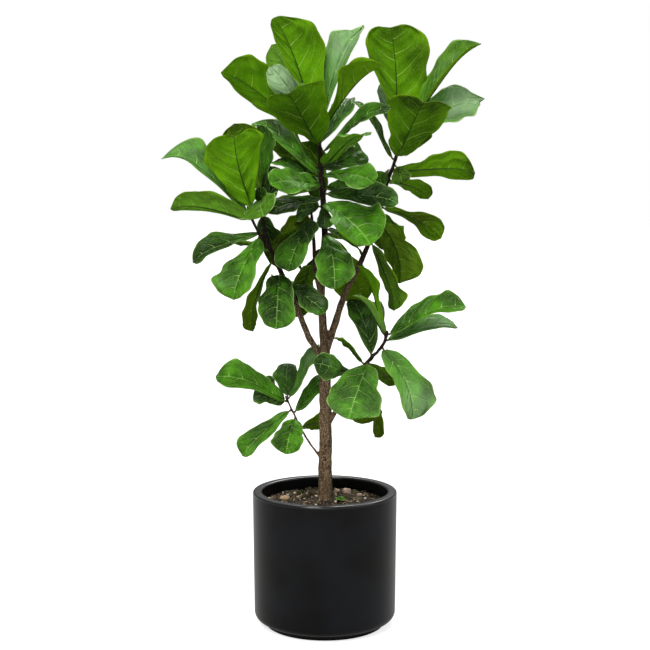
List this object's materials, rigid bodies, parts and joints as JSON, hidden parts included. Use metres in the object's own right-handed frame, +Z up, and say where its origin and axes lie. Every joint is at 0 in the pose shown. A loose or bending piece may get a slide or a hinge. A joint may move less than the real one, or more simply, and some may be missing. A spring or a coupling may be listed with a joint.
{
  "type": "potted fiddle leaf fig",
  "caption": "Branched fiddle leaf fig tree with large leathery leaves, standing in a plain dark cylindrical planter filled with soil.",
  "frame": {"origin": "centre of the planter's foot, on the surface that it stands on", "axes": "+Z up, -Y towards the tree's best side, +X to the right as seen from there"},
  "size_m": [0.8458, 0.479, 1.6748],
  "materials": {
    "pot": "satin charcoal",
    "soil": "loose potting mix with bark chips",
    "stone": "dull, worn smooth",
    "bark": "rough bark with fine cracks",
    "leaf": "glossy deep green above, matt olive green below"
  },
  "bodies": {
    "root": {"pot": "pot", "soil": "soil", "stone_1": "stone", "stone_2": "stone", "stone_3": "stone", "stone_4": "stone", "trunk_and_branches": "bark", "leaf_01": "leaf", "leaf_02": "leaf", "leaf_03": "leaf", "leaf_04": "leaf", "leaf_05": "leaf", "leaf_06": "leaf", "leaf_07": "leaf", "leaf_08": "leaf", "leaf_09": "leaf", "leaf_10": "leaf", "leaf_11": "leaf", "leaf_12": "leaf", "leaf_13": "leaf", "leaf_14": "leaf", "leaf_15": "leaf", "leaf_16": "leaf", "leaf_17": "leaf", "leaf_18": "leaf", "leaf_19": "leaf", "leaf_20": "leaf", "leaf_21": "leaf", "leaf_22": "leaf", "leaf_23": "leaf", "leaf_24": "leaf", "leaf_25": "leaf", "leaf_26": "leaf", "leaf_27": "leaf", "leaf_28": "leaf", "leaf_29": "leaf", "leaf_30": "leaf", "leaf_31": "leaf", "leaf_32": "leaf", "leaf_33": "leaf", "leaf_34": "leaf", "leaf_35": "leaf", "leaf_36": "leaf", "leaf_37": "leaf", "leaf_38": "leaf", "leaf_39": "leaf", "leaf_40": "leaf", "leaf_41": "leaf", "leaf_42": "leaf", "leaf_43": "leaf", "leaf_44": "leaf", "leaf_45": "leaf", "leaf_46": "leaf", "leaf_47": "leaf", "leaf_48": "leaf", "leaf_49": "leaf", "leaf_50": "leaf", "leaf_51": "leaf", "leaf_52": "leaf", "leaf_53": "leaf"}
  },
  "joints": []
}
